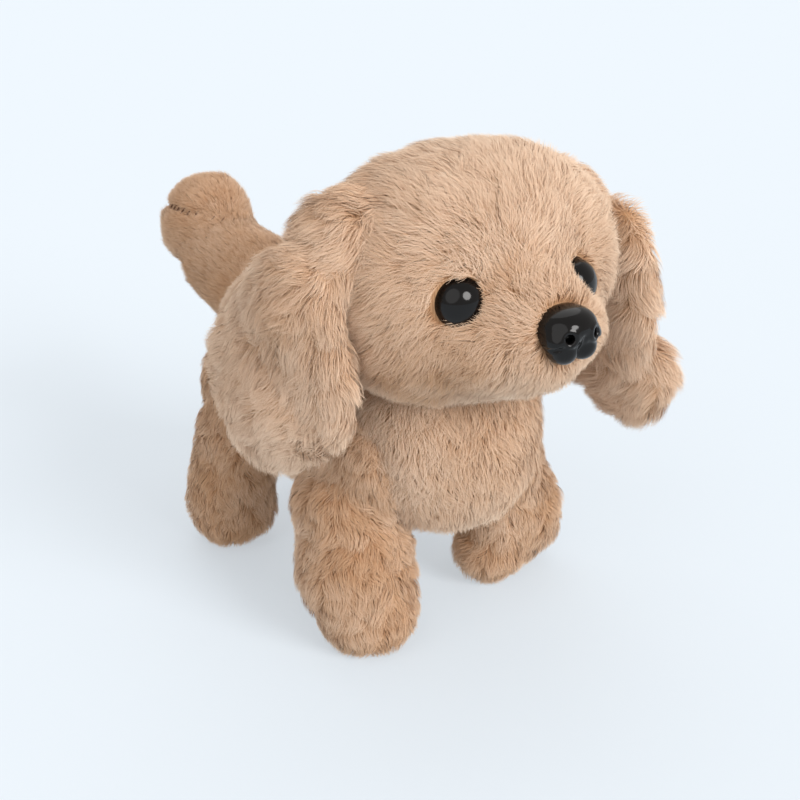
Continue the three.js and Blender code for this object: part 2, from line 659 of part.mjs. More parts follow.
function buildHead() {
  const cavity = grown(HEAD, -HEAD.wall, 9)
    .add(ball(MUZZLE.centre, MUZZLE.radii.map((radius) => radius - MUZZLE.wall), 2, 8));
  const noseAxis = (y) => [0, y, NOSE.z];
  let cover = grown(HEAD, 0, 11).add(ball(MUZZLE.centre, MUZZLE.radii, 2, 10))
    .subtract(cavity)
    .subtract(rod([0, -39.5, 80], [0, -39.5, 104], 8.5, 20))
    .subtract(rod(noseAxis(-110), noseAxis(-83), NOSE.stem + GAP, 12));
  let filling = grown(HEAD, -HEAD.wall - 2, 8).subtract(block([-17, -63, 80], [17, -31, 117.5]));

  for (const [name, side] of Object.entries(SIDES)) {
    const { along } = eyeFrame(side);
    const depth = HEAD.wall + 1.6;
    add(`eye_${name}`, eye(side), blackGloss);
    const washer = rod(along(-depth - 1.4), along(-depth), 6, 14)
      .subtract(rod(along(-depth - 3), along(1), EYE.stem + GAP, 12));
    add(`eye_washer_${name}`, washer, greyPlastic);
    cover = cover
      .subtract(rod(along(-12), along(6), EYE.stem + GAP, 12))
      .subtract(rod(along(0.1), along(20), EYE.radius + 0.4, 20));
    filling = filling.subtract(rod(along(-11), along(0), 8.5, 12));
  }
  add('head_plush', cover, pileFabric);
  add('head_filling', filling, fibre);

  const front = MUZZLE.centre[1] - MUZZLE.radii[1];
  const nose = ball(noseAxis(front), NOSE.radii, 2.2, 12)
    .subtract(block([-20, front, 90], [20, 0, 140]))
    .add(rod(noseAxis(front - 1), noseAxis(front + 11), NOSE.stem, 12));
  add('nose', nose, blackGloss);
  const behind = front + MUZZLE.wall + 3.8;
  const washer = rod(noseAxis(behind), noseAxis(behind + 1.4), 4.6, 14)
    .subtract(rod(noseAxis(front), noseAxis(front + 14), NOSE.stem + GAP, 12));
  add('nose_washer', washer, greyPlastic);
}

// Ear sections from the root down: x, y, z of the middle, half width along Y, half thickness.
const EAR_SECTIONS = [
  [40, -54, 153, 12, 3.5],
  [46, -53, 148, 18, 5],
  [55.5, -50, 135, 25, 6.5],
  [61, -47, 117, 31, 8],
  [64, -45, 98, 31.5, 8.5],
  [66, -44, 83, 24, 8],
  [66.5, -44, 75, 14, 5.5],
  [66.5, -44, 72, 6, 3],
];

function buildEars() {
  const rings = EAR_SECTIONS.map(([x, y, z, halfWidth, halfThickness], i) => {
    const below = EAR_SECTIONS[Math.min(i + 1, EAR_SECTIONS.length - 1)];
    const above = EAR_SECTIONS[Math.max(i - 1, 0)];
    const slope = new THREE.Vector3(above[0] - below[0], 0, above[2] - below[2]).normalize();
    const across = new THREE.Vector3(slope.z, 0, -slope.x);
    return {
      centre: new THREE.Vector3(x, y, z),
      u: new THREE.Vector3(0, halfWidth, 0),
      v: across.multiplyScalar(halfThickness),
    };
  });
  const ear = loft(rings, 18);
  add('left_ear', ear, pileFabric);
  add('right_ear', mirrored(ear), pileFabric);
}

// ---------------------------------------------------------------- tail
const TAIL_PROFILE = [ // share of the way from pivot to tip, and the radius there
  [0, 12.8],
  [0.3, 12.4],
  [0.55, 12],
  [0.8, 13.2],
  [1, TAIL.knob],
  [1.16, 12.4],
  [1.28, 7.5],
  [1.32, 2],
];

function buildTail() {
  const [, py, pz] = TAIL.pivot;
  const armTop = pz + 5.2;
  const bracket = block([-4.5, py - 17, SHELL.top + GAP], [4.5, py + 4.5, SHELL.top + 1.9])
    .add(block([-4.5, py - 17, SHELL.top + GAP], [4.5, py - 14.5, armTop + 1.8]))
    .add(block([-4.5, py - 17, armTop], [4.5, py + 4.5, armTop + 1.8]))
    .subtract(rod([0, py, 80], [0, py, 110], TAIL.pin + GAP, 12));
  add('tail_bracket', bracket, ivoryPlastic);
  add('tail_pin', rod([0, py, SHELL.top + 0.4], [0, py, armTop + 1.7], TAIL.pin, 12), steel);

  const [tx, ty, tz] = TAIL.tip;
  const core = rod([0, py, SHELL.top + 2.3], [0, py, armTop - 0.4], 4, 14)
    .add(rod([0, py + 2, pz], [tx, ty - 4, tz - 1], 2.6, 10))
    .subtract(rod([0, py, 80], [0, py, 110], TAIL.pin + GAP, 12));
  add('tail_core', core, ivoryPlastic);

  const pivot = new THREE.Vector3(...TAIL.pivot);
  const run = new THREE.Vector3(...TAIL.tip).sub(pivot);
  const up = new THREE.Vector3(0, -run.z, run.y).normalize();
  const across = new THREE.Vector3(1, 0, 0);
  const rings = TAIL_PROFILE.map(([share, radius]) => ({
    centre: pivot.clone().addScaledVector(run, share),
    u: up.clone().multiplyScalar(radius),
    v: across.clone().multiplyScalar(radius),
  }));
  const bracketRoom = block([-7.5, py - 30, SHELL.top - 3], [7.5, py + 8.5, armTop + 3]);
  const soft = loft(rings, 12).add(ball(TAIL.pivot, Array(3).fill(TAIL.root), 2, 8))
    .subtract(bracketRoom)
    .subtract(rod([0, py, pz], [tx, ty - 3, tz - 0.8], 3.1, 10));
  add('tail_plush', soft, pileFabric);
}

buildTrain();
buildCrankDiscs();
buildShells();
buildPower();
buildElectronics();
buildSwitch();
buildLegs();
buildSideRods();
buildTorso();
buildNeck();
buildHead();
buildEars();
buildTail();

export default toy;
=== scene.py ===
"""The looks of the walking plush puppy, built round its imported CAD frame.

Millimetres are used in the shape code and turned into metres where a mesh is made. The dog looks
along -Y, its left side is +X, and it stands on z = 0. Every soft part is a closed cover, the woven
backing, with the pile growing out of it as tapered ribbons in tufts.
"""
import json
import math

import bpy
import numpy as np
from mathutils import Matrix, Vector
from mathutils.kdtree import KDTree


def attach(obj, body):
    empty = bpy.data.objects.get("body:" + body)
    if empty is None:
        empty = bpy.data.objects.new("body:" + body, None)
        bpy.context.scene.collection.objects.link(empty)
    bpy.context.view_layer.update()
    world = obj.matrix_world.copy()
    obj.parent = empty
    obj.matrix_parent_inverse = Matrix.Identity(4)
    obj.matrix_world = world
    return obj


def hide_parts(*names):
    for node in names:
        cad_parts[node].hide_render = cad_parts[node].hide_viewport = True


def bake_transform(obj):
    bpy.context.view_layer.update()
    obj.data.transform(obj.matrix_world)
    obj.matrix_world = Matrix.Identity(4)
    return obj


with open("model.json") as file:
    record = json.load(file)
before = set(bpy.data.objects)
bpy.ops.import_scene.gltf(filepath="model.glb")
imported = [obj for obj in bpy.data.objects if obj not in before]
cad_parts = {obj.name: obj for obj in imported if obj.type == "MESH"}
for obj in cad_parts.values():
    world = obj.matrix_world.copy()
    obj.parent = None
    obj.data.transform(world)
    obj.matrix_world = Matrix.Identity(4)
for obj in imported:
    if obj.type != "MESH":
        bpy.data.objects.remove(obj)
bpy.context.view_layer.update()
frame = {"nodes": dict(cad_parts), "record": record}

MM = 0.001
UP = np.array([0.0, 0.0, 1.0])
DOWN = -UP
SIDES = {"left": 1, "right": -1}
GROUND = 0.25  # the lowest that any pile may hang, in mm

# ---------------------------------------------------------------- dimensions, in mm
TORSO = {"centre": (0, -5, 73), "radii": (34, 64, 39), "power": 2.5}
CHEST = {"centre": (0, -52, 68), "radii": (25, 18, 27)}
HEAD = {"centre": (-1.5, -57, 125.5), "radii": (46.5, 31, 35.5), "back": 37, "power": 2.15}
MUZZLE = {"centre": (0, -82, 114), "radii": (26.5, 18.5, 17)}
BRIDGE = {"centre": (0, -86, 124), "radii": (12, 12, 10)}
HIPS = {"front": -41, "rear": 37}  # y of each pair of hips
TAIL = {"root": (0, 54, 84), "neck": (0, 86, 91), "stem": (17, 15),
        "knob": (0, 99, 101.5), "radii": (15, 16, 16)}
EYE = {"normal": (0.29, -0.955, 0.06), "radius": 8.2, "back": -2.0, "dome": 6.4}
EYES = {"right": (-24, -82, 128), "left": (16.5, -85.5, 125.5)}  # the stitched face is a little uneven
NOSE = {"centre": (0, -101, 119), "radii": (9.3, 8.4, 8.2)}
SOLE = 1.2  # height of the flat under each paw's cover
BELLY_OPENING = ((-15.3, -9.5, 20), (15.3, 47.5, 50))
BELLY_FLAP = ((-14.6, -8.8, 20), (14.6, 46.8, 45))
FLAP_THICK = 2.2

# Fillets between the solids that make up each soft part.
FILLETS = {"chest": 12, "muzzle": 6, "face": 9, "leg": 6, "foot": 5, "lobe": 8, "ear_root": 9, "tail": 5}

# How uneven each stuffed part is: the size of its bumps, their seed and their depth.
UNEVEN = {"torso": (34, 11, 0.7), "head": (30, 12, 0.6), "leg": (24, 13, 0.6), "ear": (20, 21, 0.5),
          "tail": (20, 31, 0.4)}

# How far inside its neighbour a strand may still root.
BURIED = {"torso": 3, "flap": 0.7, "head": 4, "ear": 2, "leg": 4, "tail": 3}

# The box that each cover is looked for in.
BOXES = {
    "torso": ((-46, -84, 26), (46, 70, 122)),
    "flap": ((-20, -14, 26), (20, 52, 48)),
    "head": ((-54, -108, 84), (54, -20, 168)),
    "left_ear": ((8, -90, 50), (96, 6, 168)),
    "right_ear": ((-90, -88, 54), (-8, 6, 172)),
    "tail": ((-22, 36, 64), (22, 120, 124)),
}
LEG_BOX = {"inner": 10, "outer": 56, "reach": 34, "low": -2, "high": 84}


# ---------------------------------------------------------------- small vector tools
def unit(v):
    return v / np.maximum(np.linalg.norm(v, axis=-1, keepdims=True), 1e-9)


def flat_on(v, normal):
    """v without its part along the normal, as unit vectors."""
    return unit(v - (v * normal).sum(-1, keepdims=True) * normal)


def spin(v, axis, angle):
    """v turned about the unit axis by an angle, row by row."""
    c, s = np.cos(angle)[:, None], np.sin(angle)[:, None]
    along = (v * axis).sum(-1, keepdims=True)
    return v * c + np.cross(axis, v) * s + axis * along * (1 - c)


def wobble(points, scale, seed, waves=7):
    """Smooth noise of about -1 to 1 whose features are scale mm across."""
    rng = np.random.default_rng(seed)
    directions = unit(rng.normal(size=(waves, 3)))
    lengths = scale * rng.uniform(0.7, 1.6, waves)
    phases = rng.uniform(0, 2 * math.pi, waves)
    total = np.zeros(len(points))
    for direction, length, phase in zip(directions, lengths, phases):
        total += np.sin(points @ direction * (2 * math.pi / length) + phase)
    return total / math.sqrt(waves)


def ramp(x, low, high):
    t = np.clip((x - low) / (high - low), 0, 1)
    return t * t * (3 - 2 * t)


# ---------------------------------------------------------------- solids as distance fields
def oval(p, centre, radii, power=2.0):
    """Distance to a superellipsoid, negative inside."""
    q = np.abs(p - np.array(centre, float)) / np.array(radii, float)
    level = (q**power).sum(-1) ** (1 / power)
    slope = (q ** (power - 1)) / np.array(radii, float)
    steep = np.linalg.norm(slope, axis=-1) / np.maximum(level, 1e-6) ** (power - 1)
    return (level - 1) / np.maximum(steep, 1e-6)


def limb(p, start, end, r0, r1):
    """Distance to a round bar from start to end, whose radius goes from r0 to r1."""
    a, b = np.array(start, float), np.array(end, float)
    t = np.clip(((p - a) @ (b - a)) / ((b - a) @ (b - a)), 0, 1)
    return np.linalg.norm(p - (a + t[..., None] * (b - a)), axis=-1) - (r0 + (r1 - r0) * t)


def merged(a, b, soft):
    """The union of two fields, with a fillet of about soft mm."""
    h = np.clip(0.5 + 0.5 * (b - a) / soft, 0, 1)
    return b + (a - b) * h - soft * h * (1 - h)


def cuboid(p, low, high):
    centre = (np.array(high, float) + np.array(low, float)) / 2
    half = (np.array(high, float) - np.array(low, float)) / 2
    q = np.abs(p - centre) - half
    return np.linalg.norm(np.maximum(q, 0), axis=-1) + np.minimum(q.max(-1), 0)


def surface_of(field, low, high, step):
    """The zero surface of a field as vertices, quads and outward normals (surface nets)."""
    low = np.array(low, float)
    counts = np.ceil((np.array(high, float) - low) / step).astype(int) + 1
    axes = [low[a] + step * np.arange(counts[a]) for a in range(3)]
    grid = np.stack(np.meshgrid(*axes, indexing="ij"), -1)
    values = field(grid.reshape(-1, 3)).reshape(counts)
    cells = counts - 1
    total, hits = np.zeros((*cells, 3)), np.zeros(cells)
    for axis in range(3):
        across = [a for a in range(3) if a != axis]
        for corner in ((0, 0), (0, 1), (1, 0), (1, 1)):
            shift = np.zeros(3, int)
            shift[across[0]], shift[across[1]] = corner
            far = shift + np.eye(3, dtype=int)[axis]
            v0 = values[tuple(slice(s, s + n) for s, n in zip(shift, cells))]
            v1 = values[tuple(slice(s, s + n) for s, n in zip(far, cells))]
            crossed = (v0 < 0) != (v1 < 0)
            t = np.where(crossed, v0 / np.where(crossed, v0 - v1, 1), 0)
            place = np.zeros((*cells, 3)) + shift
            place[..., axis] += t
            total += place * crossed[..., None]
            hits += crossed
    active = hits > 0
    ids = np.full(cells, -1)
    ids[active] = np.arange(active.sum())
    base = np.stack(np.nonzero(active), -1)
    verts = low + step * (base + total[active] / hits[active][:, None])
    quads = []
    for axis in range(3):
        u, v = [a for a in range(3) if a != axis]
        if axis == 1:
            u, v = v, u
        near = [slice(1, -1)] * 3
        near[axis] = slice(0, -1)
        ahead = list(near)
        ahead[axis] = slice(1, None)
        v0, v1 = values[tuple(near)] < 0, values[tuple(ahead)] < 0
        at = np.stack(np.nonzero(v0 != v1), -1)
        rising = v0[tuple(at.T)]
        at[:, u] += 1
        at[:, v] += 1
        ring = []
        for du, dv in ((-1, -1), (0, -1), (0, 0), (-1, 0)):
            cell = at.copy()
            cell[:, u] += du
            cell[:, v] += dv
            ring.append(ids[tuple(cell.T)])
        ring = np.stack(ring, -1)
        ring[~rising] = ring[~rising][:, ::-1]
        quads.append(ring)
    quads = np.concatenate(quads)
    return verts, quads, slope_of(field, verts)


def slope_of(field, points, reach=0.4):
    """Unit outward normals of a field at points."""
    parts = []
    for axis in range(3):
        offset = np.zeros(3)
        offset[axis] = reach
        parts.append(field(points + offset) - field(points - offset))
    return unit(np.stack(parts, -1))


# ---------------------------------------------------------------- meshes
def new_mesh(name, verts, faces):
    """A smooth mesh object from arrays in mm. faces is an array of rows of 3 or 4 corners."""
    mesh = bpy.data.meshes.new(name)
    mesh.vertices.add(len(verts))
    mesh.vertices.foreach_set("co", (np.asarray(verts) * MM).astype(np.float32).ravel())
    corners = faces.shape[1]
    mesh.loops.add(faces.size)
    mesh.loops.foreach_set("vertex_index", faces.astype(np.int32).ravel())
    mesh.polygons.add(len(faces))
    mesh.polygons.foreach_set("loop_start", np.arange(0, faces.size, corners, dtype=np.int32))
    mesh.polygons.foreach_set("use_smooth", np.full(len(faces), True))
    mesh.update(calc_edges=True)
    mesh.validate()
    piece = bpy.data.objects.new(name, mesh)
    bpy.context.scene.collection.objects.link(piece)
    return piece


def set_palette(piece, verts_uv):
    """The bake layer: u is the tone of a strand and v is how far along it a point lies."""
    mesh = piece.data
    layer = mesh.uv_layers.new(name="OFBake")
    corner = np.empty(len(mesh.loops), np.int32)
    mesh.loops.foreach_get("vertex_index", corner)
    layer.uv.foreach_set("vector", verts_uv[corner].astype(np.float32).ravel())


# ---------------------------------------------------------------- pile
# How strands differ. Lengths and widths are ranges of factors, and lift goes from 0 flat to 1 upright.
TUFT_LENGTHS, STRAND_LENGTHS, STRAND_WIDTHS = (0.8, 1.15), (0.82, 1.08), (0.7, 1.25)
LIFTS = (0.05, 0.98)
TAPER = ([0, 0.35, 0.75, 1], [0.8, 1, 0.7, 0.15])  # places along a strand, and its width there
BROAD, FINE = 22, 8  # size in mm of the patches that lie the same way
PALETTE = (0.02, 0.98)  # the part of the bake layer that is used


def scatter(skin, density, rng, keep=None):
    """Even random points on a skin: places and normals."""
    verts, quads, normals = skin
    tris = np.concatenate([quads[:, [0, 1, 2]], quads[:, [0, 2, 3]]])
    a, b, c = (verts[tris[:, i]] for i in range(3))
    areas = np.linalg.norm(np.cross(b - a, c - a), axis=1) / 2
    reach = np.cumsum(areas)
    count = int(reach[-1] * density)
    picks = (np.arange(count) + rng.random(count)) / count * reach[-1]
    tri = np.minimum(np.searchsorted(reach, picks), len(tris) - 1)
    r1, r2 = np.sqrt(rng.random(count)), rng.random(count)
    weights = np.stack([1 - r1, r1 * (1 - r2), r1 * r2], -1)[..., None]
    places = (verts[tris[tri]] * weights).sum(1)
    facing = unit((normals[tris[tri]] * weights).sum(1))
    if keep is not None:
        kept = keep(places)
        places, facing = places[kept], facing[kept]
    return places, facing


def stand(places, normals, flow, length, lift, levels):
    """Points along each strand, from its root: it rises, then leans over into the flow."""
    rise = unit(normals * lift[:, None] + flow * (1 - lift)[:, None])
    lean = unit(normals * (lift * 0.35)[:, None] + flow + DOWN * 0.12)
    s = np.array(levels)[None, :, None]
    reach = length[:, None, None]
    first, second = rise[:, None, :], lean[:, None, :]
    return places[:, None, :] + reach * (first * (s - s * s * 0.55) + second * (s * s * 0.62))


def nearest(places, guides):
    """For each place, the number of the guide that it is closest to."""
    tree = KDTree(len(guides))
    for i, guide in enumerate(guides):
        tree.insert(guide, i)
    tree.balance()
    return np.array([tree.find(place)[1] for place in places])


def ribbon_faces(count, steps):
    """The triangles of count ribbons, each with steps segments and a pointed tip."""
    tris = []
    for k in range(steps - 1):
        a = 2 * k
        tris += [(a, a + 1, a + 3), (a, a + 3, a + 2)]
    tris.append((2 * steps - 2, 2 * steps - 1, 2 * steps))
    per = 2 * steps + 1
    return (np.arange(count)[:, None, None] * per + np.array(tris)[None]).reshape(-1, 3)


def grow(name, skin, pile, comb, tone, seed, keep=None):
    """Pile on a skin, as one mesh of ribbons.

    pile gives density (strands per square mm), length, width, lift from 0 flat to 1 upright,
    tuft (strands to a tuft), clump (how far a tuft closes at its tips), and wave. comb(p, n) gives
    the way the pile is brushed, and tone(p) its colour from 0 brown to 1 pale.
    """
    rng = np.random.default_rng(seed)
    places, normals = scatter(skin, pile["density"], rng, keep)
    count = len(places)
    guides = rng.choice(count, max(1, count // pile["tuft"]), replace=False)
    mine = nearest(places, places[guides])

    flow = flat_on(comb(places, normals), normals)
    stray = wobble(places, BROAD, seed + 1) * pile["stray"]
    stray = stray + wobble(places, FINE, seed + 2) * pile["stray"] * 0.8
    tuft_turn = rng.normal(0, pile["stray"] * 0.55, len(guides))[mine]
    fray = rng.normal(0, pile["fray"], count)
    flow = spin(flow, normals, stray + tuft_turn + fray)
    size = pile["length"](places) if callable(pile["length"]) else np.full(count, float(pile["length"]))
    tuft_size = rng.uniform(*TUFT_LENGTHS, len(guides))[mine]
    length = size * tuft_size * rng.uniform(*STRAND_LENGTHS, count)
    lift = np.clip(pile["lift"] + wobble(places, 14, seed + 3) * 0.12
                   + rng.normal(0, 0.07, len(guides))[mine] + rng.normal(0, 0.08, count), *LIFTS)
    levels = pile["levels"]
    points = stand(places, normals, flow, length, lift, levels)

    s = np.array(levels)[None, :, None]
    closing = pile["clump"] * rng.uniform(0.6, 1.0, count)[:, None, None] * s**1.4
    points += (points[guides][mine] - points) * closing
    side = np.cross(normals, flow)
    phase = rng.uniform(0, 2 * math.pi, len(guides))[mine][:, None, None]
    swing = pile["wave"] * np.sin(s * 4.4 + phase) * s * length[:, None, None]
    points += side[:, None, :] * swing
    points[:, 1:, 2] = np.maximum(points[:, 1:, 2], GROUND)

    forward = np.empty_like(points)
    forward[:, :-1] = points[:, 1:] - points[:, :-1]
    forward[:, -1] = forward[:, -2]
    forward = unit(forward)
    facing = unit(normals + rng.normal(0, 0.45, (count, 3)))
    across = unit(np.cross(forward, facing[:, None, :]))
    taper = np.interp(levels[:-1], *TAPER)
    half = pile["width"] / 2 * taper[None, :, None] * rng.uniform(*STRAND_WIDTHS, count)[:, None, None]
    left = points[:, :-1] - across[:, :-1] * half
    right = points[:, :-1] + across[:, :-1] * half

    verts = np.concatenate([np.stack([left, right], 2).reshape(count, -1, 3), points[:, -1:]], 1)
    piece = new_mesh(name, verts.reshape(-1, 3), ribbon_faces(count, len(levels) - 1))
    shade = tone(places) + rng.normal(0, 0.09, count) + rng.normal(0, 0.07, len(guides))[mine]
    along = np.tile(np.repeat(np.array(levels), 2)[:-1], count)
    shade = np.repeat(shade, verts.shape[1])
    set_palette(piece, np.clip(np.stack([shade, along], -1), *PALETTE))
    ribbon = unit(np.cross(across, forward)[:, :-1])
    soft = unit(ribbon * 0.3 + normals[:, None, :] * 0.85 + forward[:, :-1] * 0.15)
    shading = np.concatenate([np.repeat(soft, 2, 1), soft[:, -1:]], 1).reshape(-1, 3)
    piece.data.normals_split_custom_set_from_vertices(shading.astype(np.float32))
    return piece


# ---------------------------------------------------------------- materials
def nodes_of(name):
    made = bpy.data.materials.new(name)
    made.use_nodes = True
    tree = made.node_tree
    return made, tree.nodes, tree.links, tree.nodes["Principled BSDF"]


def ramp_node(nodes, stops):
    node = nodes.new("ShaderNodeValToRGB")
    elements = node.color_ramp.elements
    while len(elements) < len(stops):
        elements.new(0.5)
    for element, (position, colour) in zip(elements, stops):
        element.position = position
        element.color = (*colour, 1)
    return node


# Colours along a strand from its root, in linear light, for the brownest and the palest strands. The dark,
# saturated roots are partly the pile's own colour and partly painted shade of the deep pile; the pale tips
# are partly its own colour and partly painted sheen.
BROWN_STRAND = [(0.0, (0.40, 0.175, 0.07)), (0.35, (0.50, 0.255, 0.12)), (1.0, (0.62, 0.38, 0.22))]
PALE_STRAND = [(0.0, (0.56, 0.31, 0.155)), (0.35, (0.74, 0.49, 0.32)), (1.0, (0.91, 0.73, 0.57))]


def pile_material():
    made, nodes, links, shader = nodes_of("tan_pile")
    uv = nodes.new("ShaderNodeUVMap")
    uv.uv_map = "OFBake"
    split = nodes.new("ShaderNodeSeparateXYZ")
    links.new(uv.outputs["UV"], split.inputs[0])
    # The strand ramps: their roots carry painted shade and their tips painted sheen.
    dark = ramp_node(nodes, BROWN_STRAND)
    light = ramp_node(nodes, PALE_STRAND)
    blend = nodes.new("ShaderNodeMix")
    blend.data_type = "RGBA"
    links.new(split.outputs["Y"], dark.inputs["Fac"])
    links.new(split.outputs["Y"], light.inputs["Fac"])
    links.new(split.outputs["X"], blend.inputs["Factor"])
    links.new(dark.outputs["Color"], blend.inputs["A"])
    links.new(light.outputs["Color"], blend.inputs["B"])
    links.new(blend.outputs["Result"], shader.inputs["Base Color"])
    shader.inputs["Roughness"].default_value = 0.8
    shader.inputs["Specular IOR Level"].default_value = 0.12
    shader.inputs["Sheen Weight"].default_value = 0.5
    shader.inputs["Sheen Roughness"].default_value = 0.45
    shader.inputs["Sheen Tint"].default_value = (1.0, 0.86, 0.70, 1)
    return made


def backing_material():
    """The knitted backing that the pile grows from: fine ribs, mostly hidden. Its dark brown is partly its
    own colour and partly painted shade of the deep pile.
    """
    made, nodes, links, shader = nodes_of("knit_backing")
    place = nodes.new("ShaderNodeTexCoord")
    wave = nodes.new("ShaderNodeTexWave")
    wave.inputs["Scale"].default_value = 420
    wave.inputs["Distortion"].default_value = 2.5
    links.new(place.outputs["Object"], wave.inputs["Vector"])
    # Dark brown ribs: partly the backing's own colour, partly painted shade under the pile.
    colours = ramp_node(nodes, [(0.0, (0.36, 0.19, 0.09)), (1.0, (0.50, 0.29, 0.15))])
    links.new(wave.outputs["Fac"], colours.inputs["Fac"])
    links.new(colours.outputs["Color"], shader.inputs["Base Color"])
    shader.inputs["Roughness"].default_value = 0.9
    shader.inputs["Sheen Weight"].default_value = 0.3
    return made


def moulded(name, low, high, roughness, grain=900, bump=0.15, metallic=0.0, specular=0.5):
    """A moulded, rolled or drawn surface: a little colour drift and a fine grain in the light."""
    made, nodes, links, shader = nodes_of(name)
    place = nodes.new("ShaderNodeTexCoord")
    drift = nodes.new("ShaderNodeTexNoise")
    drift.inputs["Scale"].default_value = 60
    drift.inputs["Detail"].default_value = 3
    links.new(place.outputs["Object"], drift.inputs["Vector"])
    colours = ramp_node(nodes, [(0.3, low), (0.7, high)])
    links.new(drift.outputs["Fac"], colours.inputs["Fac"])
    links.new(colours.outputs["Color"], shader.inputs["Base Color"])
    fine = nodes.new("ShaderNodeTexNoise")
    fine.inputs["Scale"].default_value = grain
    fine.inputs["Detail"].default_value = 2
    links.new(place.outputs["Object"], fine.inputs["Vector"])
    if bump:
        relief = nodes.new("ShaderNodeBump")
        relief.inputs["Strength"].default_value = bump
        relief.inputs["Distance"].default_value = 0.0001
        links.new(fine.outputs["Fac"], relief.inputs["Height"])
        links.new(relief.outputs["Normal"], shader.inputs["Normal"])
    spread = nodes.new("ShaderNodeMapRange")
    spread.inputs["To Min"].default_value = max(0.02, roughness - 0.06)
    spread.inputs["To Max"].default_value = roughness + 0.08
    links.new(fine.outputs["Fac"], spread.inputs["Value"])
    links.new(spread.outputs["Result"], shader.inputs["Roughness"])
    shader.inputs["Metallic"].default_value = metallic
    shader.inputs["Specular IOR Level"].default_value = specular
    return made


THREAD = moulded("sewing_thread", (0.10, 0.045, 0.02), (0.16, 0.08, 0.04), 0.8, 2500, 0.5)
PILE = pile_material()
BACKING = backing_material()
FINISHES = {
    "pile_fabric": BACKING,
    "stuffing": moulded("stuffing_fibre", (0.75, 0.73, 0.68), (0.93, 0.91, 0.87), 0.9, 500, 0.6),
    "ivory_plastic": moulded("ivory_moulding", (0.72, 0.67, 0.55), (0.80, 0.76, 0.65), 0.45),
    "grey_plastic": moulded("grey_moulding", (0.24, 0.26, 0.28), (0.30, 0.32, 0.34), 0.5),
    "gear_nylon": moulded("white_nylon", (0.82, 0.79, 0.70), (0.90, 0.87, 0.80), 0.38),
    "black_gloss": moulded("black_gloss_moulding", (0.0020, 0.0018, 0.0018), (0.0035, 0.003, 0.003), 0.10,
                           300, 0, specular=0.3),
    "dark_plastic": moulded("dark_moulding", (0.010, 0.010, 0.012), (0.022, 0.022, 0.025), 0.45),
    "steel": moulded("drawn_steel", (0.50, 0.51, 0.53), (0.66, 0.67, 0.68), 0.32, 1400, 0.1, 1.0),
    "brass": moulded("turned_brass", (0.62, 0.42, 0.16), (0.78, 0.57, 0.25), 0.32, 1400, 0.1, 1.0),
    "circuit_board": moulded("lacquered_board", (0.010, 0.12, 0.035), (0.022, 0.19, 0.06), 0.3),
    "battery_wrap": moulded("shrink_wrap", (0.02, 0.025, 0.035), (0.04, 0.045, 0.06), 0.28),
}


def finish_piece(piece, material):
    piece.data.materials.clear()
    piece.data.materials.append(material)
    return piece


def dress_frame():
    """Every carried CAD node gets the procedural finish of its slot in the record."""
    slots = {part["node"]: part["material_slot"] for part in frame["record"]["subparts"]}
    for name, node in frame["nodes"].items():
        node.data.materials.clear()
        node.data.materials.append(FINISHES[slots[name]])


# ---------------------------------------------------------------- soft parts
def lumpy(distance, p, part, side=0):
    """A field with the unevenness of its stuffing added."""
    size, seed, depth = UNEVEN[part]
    return distance + wobble(p, size, seed + side) * depth


def outside(field, part):
    """Tells where pile may root: outside the neighbour's field, or only a little way into it."""
    return lambda p: field(p) > -BURIED[part]


def torso_field(p):
    barrel = oval(p, TORSO["centre"], TORSO["radii"], TORSO["power"])
    chest = oval(p, CHEST["centre"], CHEST["radii"])
    return lumpy(merged(barrel, chest, FILLETS["chest"]), p, "torso")


def torso_cover_field(p):
    return np.maximum(torso_field(p), -cuboid(p, *BELLY_OPENING))


def flap_field(p):
    body = torso_field(p)
    return np.maximum(np.maximum(body, -body - FLAP_THICK), cuboid(p, *BELLY_FLAP))


def head_field(p):
    """The head, deeper behind its middle than in front of it, with the muzzle and its bridge."""
    q = p.copy()
    behind = q[:, 1] - HEAD["centre"][1]
    shorter = HEAD["radii"][1] / HEAD["back"]
    q[:, 1] = HEAD["centre"][1] + np.where(behind > 0, behind * shorter, behind)
    skull = oval(q, HEAD["centre"], HEAD["radii"], HEAD["power"])
    muzzle = oval(p, MUZZLE["centre"], MUZZLE["radii"])
    bridge = oval(p, BRIDGE["centre"], BRIDGE["radii"])
    face = merged(muzzle, bridge, FILLETS["muzzle"])
    return lumpy(merged(skull, face, FILLETS["face"]), p, "head")


# Each leg as it stands in mid stride, on its own side: the hip's centre and radii, then points
# (x, y, z, radius) down the leg, and where the lever puts the foot plate.
LEGS = {
    ("front", "left"): {"hip": (26, -39, 60), "radii": (12, 17, 18), "foot_y": -38.3,
                        "down": [(31, -38, 44, 13.5), (40, -34, 25, 13.5), (42.5, -31, 17.5, 15.5)]},
    ("front", "right"): {"hip": (26, -36, 62), "radii": (13, 20, 21), "foot_y": -48.7,
                         "down": [(31, -36, 46, 15.5), (33, -41, 29, 15), (31.5, -47, 15, 14.2)]},
    ("rear", "left"): {"hip": (25, 37, 60), "radii": (12, 17, 17), "foot_y": 49.2,
                       "down": [(28, 41, 46, 12.5), (31, 48, 24, 12), (30.5, 49, 14, 13)]},
    ("rear", "right"): {"hip": (24, 36, 60), "radii": (12, 16, 17), "foot_y": 38.8,
                        "down": [(27.5, 36, 46, 13), (29, 40, 24, 12.5), (28, 41.5, 15, 13.5)]},
}

# The stuffing round the lever and its foot plate, which stands at the leg's foot_y.
FOOT = {"x": 29.2, "z": 12, "radii": (10.8, 8.7, 9)}
SHANK = {"top": (27, 44), "end": (28, 14), "radii": (10, 9)}  # x and z of each end


